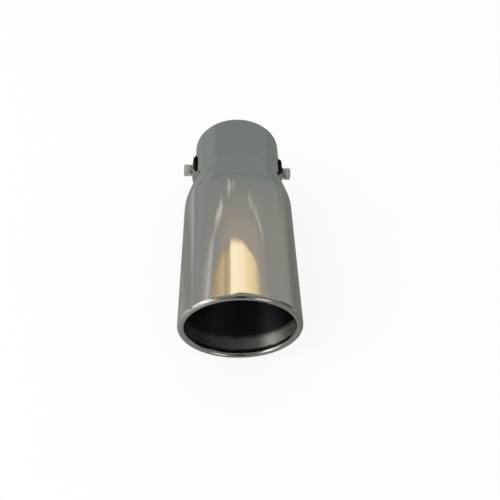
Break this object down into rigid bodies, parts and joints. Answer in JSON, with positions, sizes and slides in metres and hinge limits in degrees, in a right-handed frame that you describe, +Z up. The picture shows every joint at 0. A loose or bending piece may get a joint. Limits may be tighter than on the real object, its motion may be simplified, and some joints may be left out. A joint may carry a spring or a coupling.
{
  "type": "exhaust tip",
  "caption": "Round polished steel tail pipe tip with a stepped neck, rolled lip and clamp screws in lanced straps on the sides of the neck.",
  "frame": {"origin": "centre of the inlet mouth, on the tube's axis", "axes": "+Y along the axis out of the inlet, towards the tail pipe; the outlet faces -Y; the clamp screws lie along X; +Z up"},
  "size_m": [0.0808, 0.159, 0.076],
  "materials": {
    "polished_steel": "mirror-polished stainless steel",
    "plated_steel": "satin zinc plate"
  },
  "bodies": {
    "tube": {"tip_body": "polished_steel", "left_weld_nut": "plated_steel", "right_weld_nut": "plated_steel"},
    "left_screw": {"left_clamp_screw": "plated_steel", "left_spring_washer": "plated_steel"},
    "right_screw": {"right_clamp_screw": "plated_steel", "right_spring_washer": "plated_steel"}
  },
  "joints": [
    {"name": "left_clamp_travel", "type": "slide", "parent": "tube", "child": "left_screw", "axis": [-1, 0, 0], "range_m": [0, 0.0015]},
    {"name": "right_clamp_travel", "type": "slide", "parent": "tube", "child": "right_screw", "axis": [1, 0, 0], "range_m": [0, 0.0015]}
  ]
}
